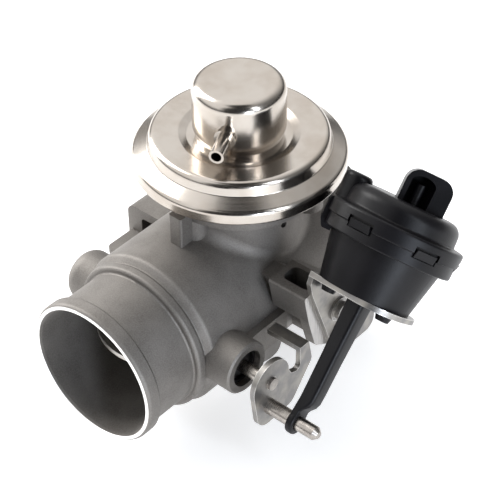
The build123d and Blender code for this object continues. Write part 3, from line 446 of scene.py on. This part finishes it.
# ---------------------------------------------------------------- snap hooks
# Hooks moulded on the cup's rim stand in the cover's windows and hold the two together. There is none
# behind the cover's lug, where its wall is plain.
first_hook = 88.4
hook_step = 60
hook_turns = [radians(first_hook + hook_step * place) for place in (0, 1, 3, 4, 5)]
hook_w = 8.6 * mm
hook_back_r = 23.3 * mm
# height along the cup, and radius of the front, at the foot and at the top
hook_levels = ((21.05 * mm, 24.3 * mm), (24.3 * mm, 25.5 * mm))
hook_soft_r = 0.25 * mm

hook_bm = bmesh.new()
for turn in hook_turns:
    outward = Vector((cos(turn), sin(turn) * cup_line.z, -sin(turn) * cup_line.y))
    aside = cup_line.cross(outward)
    rings = []
    for height, front_r in hook_levels:
        middle = cup_foot + cup_line * height
        ends = ((hook_back_r, 0.5), (front_r, 0.5), (front_r, -0.5), (hook_back_r, -0.5))
        spots = [middle + outward * radius + aside * side * hook_w for radius, side in ends]
        rings.append([hook_bm.verts.new(spot) for spot in spots])
    wrap(hook_bm, rings)
    hook_bm.faces.new(rings[0])
    hook_bm.faces.new(rings[-1])
snap_hooks = form("snap_hooks", hook_bm, nylon, smooth=False)
soft_corners = snap_hooks.modifiers.new("soft_corners", "BEVEL")
soft_corners.width = hook_soft_r
soft_corners.segments = 2
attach(snap_hooks, "housing")

# ---------------------------------------------------------------- actuator rod
# The rod is one nylon moulding that tapers from the piston down to a thin eye, which turns on the lever's
# pin. It is drawn here with the mould's soft corners and taper, over the plain bar of the frame.
eye_x = 64.7 * mm
eye_t = 3.0 * mm
eye_r = 4.7 * mm
eye_bore_r = 2.76 * mm
eye_chamfer = 0.3 * mm
eye_round = 0.7 * mm
eye_shoulder = 0.2 * mm
eye_steps = 40
corner_steps = 5
crease_angle = radians(40)
pin_centre = Vector((0.0, -91.18, -10.42)) * mm
rod_line = Vector((0.0, 0.6817, 0.7316))
rod_across = rod_line.cross(Vector((1.0, 0.0, 0.0)))
# distance from the pin, middle along X, width, thickness and corner radius of each section, in mm
rod_sections = (
    (2.6, 64.7, 2.9, 8.0, 0.6),
    (4.4, 64.75, 3.0, 7.7, 0.8),
    (5.6, 65.1, 3.8, 7.5, 1.0),
    (7.2, 65.9, 5.4, 7.5, 1.4),
    (9.2, 66.4, 6.2, 7.6, 1.6),
    (14.0, 66.5, 6.4, 7.7, 1.7),
    (26.0, 66.5, 6.6, 8.0, 1.8),
    (40.0, 66.5, 7.2, 8.6, 1.9),
    (55.4, 66.5, 7.9, 9.3, 2.0),
    (55.5, 66.5, 7.3, 8.7, 1.8),
    (55.56, 66.5, 4.6, 4.6, 2.2),
    (61.8, 66.5, 4.6, 4.6, 2.2),
)
# share of the eye's thickness, from its middle, and radius, once round its section
eye_profile = (
    (-0.5, eye_bore_r + eye_chamfer),
    (-0.4, eye_bore_r),
    (0.4, eye_bore_r),
    (0.5, eye_bore_r + eye_chamfer),
    (0.5, eye_r - eye_round),
    (0.42, eye_r - eye_shoulder),
    (0.28, eye_r),
    (-0.28, eye_r),
    (-0.42, eye_r - eye_shoulder),
    (-0.5, eye_r - eye_round),
)

rod_bm = bmesh.new()
rings = []
for distance, middle, width, thickness, corner in rod_sections:
    ring = []
    for quarter, (side, face) in enumerate(((1, 1), (-1, 1), (-1, -1), (1, -1))):
        for step in range(corner_steps + 1):
            turn = (quarter + step / corner_steps) * pi / 2
            wide = side * (width / 2 - corner) + corner * cos(turn)
            thick = face * (thickness / 2 - corner) + corner * sin(turn)
            spot = pin_centre + (rod_line * distance + rod_across * thick) * mm
            spot.x = (middle + wide) * mm
            ring.append(rod_bm.verts.new(spot))
    rings.append(ring)
wrap(rod_bm, rings)
rod_bm.faces.new(rings[0])
rod_bm.faces.new(rings[-1])
eye_rings = []
for step in range(eye_steps):
    turn = 2 * pi * step / eye_steps
    spoke = Vector((0.0, cos(turn), sin(turn)))
    middles = [Vector((eye_x + share * eye_t, pin_centre.y, pin_centre.z)) for share, _ in eye_profile]
    radii = [radius for _, radius in eye_profile]
    eye_rings.append([rod_bm.verts.new(middle + spoke * radius) for middle, radius in zip(middles, radii)])
wrap(rod_bm, eye_rings + eye_rings[:1])
tapered_rod = form("tapered_rod", rod_bm, nylon)
crease = tapered_rod.modifiers.new("crease", "EDGE_SPLIT")
crease.split_angle = crease_angle
dress(nylon, "actuator_rod")
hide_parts("actuator_rod")
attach(tapered_rod, "rod")

# ---------------------------------------------------------------- floor
# The valve stands on a wide sheet of pale paper, lit a little from within so that it stays white up to
# the edges of the view.
floor_half = 6.0
floor_z = cad_box[0][2]
floor_mesh = bpy.data.meshes.new("floor")
floor_corners = [
    (-floor_half, -floor_half, floor_z),
    (floor_half, -floor_half, floor_z),
    (floor_half, floor_half, floor_z),
    (-floor_half, floor_half, floor_z),
]
floor_mesh.from_pydata(floor_corners, [], [(0, 1, 2, 3)])
floor = bpy.data.objects.new("floor", floor_mesh)
bpy.context.scene.collection.objects.link(floor)
paper_glow = {"Metallic": 0.0, "Emission Color": (1.0, 1.0, 1.0, 1.0), "Emission Strength": 0.5}
paper = Finish("pale_paper", paper_glow)
fibres = paper.grain(60 * mm, detail=2.0)
paper.cover(paper.mix(fibres, paint(244, 244, 245), paint(247, 247, 247)), 0.9)
floor_mesh.materials.append(paper.material)

# ---------------------------------------------------------------- studio
# A white room that falls off to dark at the horizon, on the right, in an opening overhead and in a doorway
# in front of the lever, with four soft boxes. The bright can shows these dark places as its dark lines.
dusk = (0.05, 0.05, 0.055, 1.0)
white = (1.0, 1.0, 1.0, 1.0)
lit_side = (-0.8, -0.2, 0.2)
opening_at = (0.18, -0.2, 0.96)
doorway_at = (0.6, -0.68, 0.42)

room = bpy.data.worlds.new("studio")
room.use_nodes = True
walls = Nodes(room.node_tree)
direction = walls.node("TexCoord", {}, {})["Generated"]


def towards(place):
    """How far the room's direction leans towards a place, as 1 where it points straight there."""
    return walls.node("VectorMath", {"operation": "DOT_PRODUCT"}, {0: direction, 1: place})["Value"]


upward = walls.node("SeparateXYZ", {}, {"Vector": direction})["Z"]
climb = walls.node("ValToRGB", {"stops": ((0.08, dusk), (0.4, white))}, {"Fac": upward})["Color"]
from_side = towards(lit_side).rise(-0.55, 0.35, 0.22, 1.3)
doorway = towards(doorway_at).rise(0.72, 0.86, 1.0, 0.06)
opening = towards(opening_at).rise(0.93, 0.97, 1.0, 0.03)
walls.feed(walls.tree.nodes["Background"], {"Color": climb, "Strength": from_side * doorway * opening})
bpy.context.scene.world = room


def soft_box(name, place, width, height, watts, tint):
    """A rectangle of light at a place, facing the middle of the valve."""
    lamp = bpy.data.lights.new(name, "AREA")
    lamp.shape = "RECTANGLE"
    lamp.size = width
    lamp.size_y = height
    lamp.energy = watts
    lamp.color = tint
    stand = bpy.data.objects.new(name, lamp)
    aim = (view_centre - Vector(place)).to_track_quat("-Z", "Y").to_matrix().to_4x4()
    stand.matrix_world = Matrix.Translation(place) @ aim
    bpy.context.scene.collection.objects.link(stand)


view_centre = Vector((0.0, stem_y, 0.0))
soft_box("soft_box_top", (-0.62, -0.12, 0.72), 0.4, 0.4, 3.5, (1.0, 0.99, 0.97))
soft_box("soft_box_left", (-0.95, -0.2, 0.42), 0.45, 0.7, 7.5, (1.0, 1.0, 1.0))
soft_box("soft_box_right", (0.75, -0.15, 0.45), 0.14, 0.6, 2.2, (0.86, 0.92, 1.0))
soft_box("soft_box_front", (0.92, -0.52, 0.14), 0.18, 0.4, 5.0, (0.8, 0.88, 1.0))

# ---------------------------------------------------------------- camera
# It looks down on the lever's side of the valve from in front of the mouth, through a long lens, with the
# valve a little off the middle of the view.
view_azimuth = radians(41.44)
view_elevation = radians(40.54)
view_roll = radians(-0.74)
view_distance = 0.64808
lens_mm = 120.06
sensor_mm = 36.0
frame_shift = (0.0175, 0.0212)

level = Vector((cos(view_azimuth), sin(view_azimuth), 0.0))
ahead = Vector((-sin(view_azimuth), cos(view_azimuth), 0.0))
back = upwards * sin(view_elevation) - ahead * cos(view_elevation)
upright = back.cross(level)
right = level * cos(view_roll) + upright * sin(view_roll)
top = upright * cos(view_roll) - level * sin(view_roll)
camera_data = bpy.data.cameras.new("camera")
camera_data.sensor_width = sensor_mm
camera_data.lens = lens_mm
camera_data.shift_x, camera_data.shift_y = frame_shift
camera_data.clip_start = 0.01
camera = bpy.data.objects.new("camera", camera_data)
axes = Matrix((right, top, back)).transposed().to_4x4()
camera.matrix_world = Matrix.Translation(view_centre + back * view_distance) @ axes
bpy.context.scene.collection.objects.link(camera)
bpy.context.scene.camera = camera
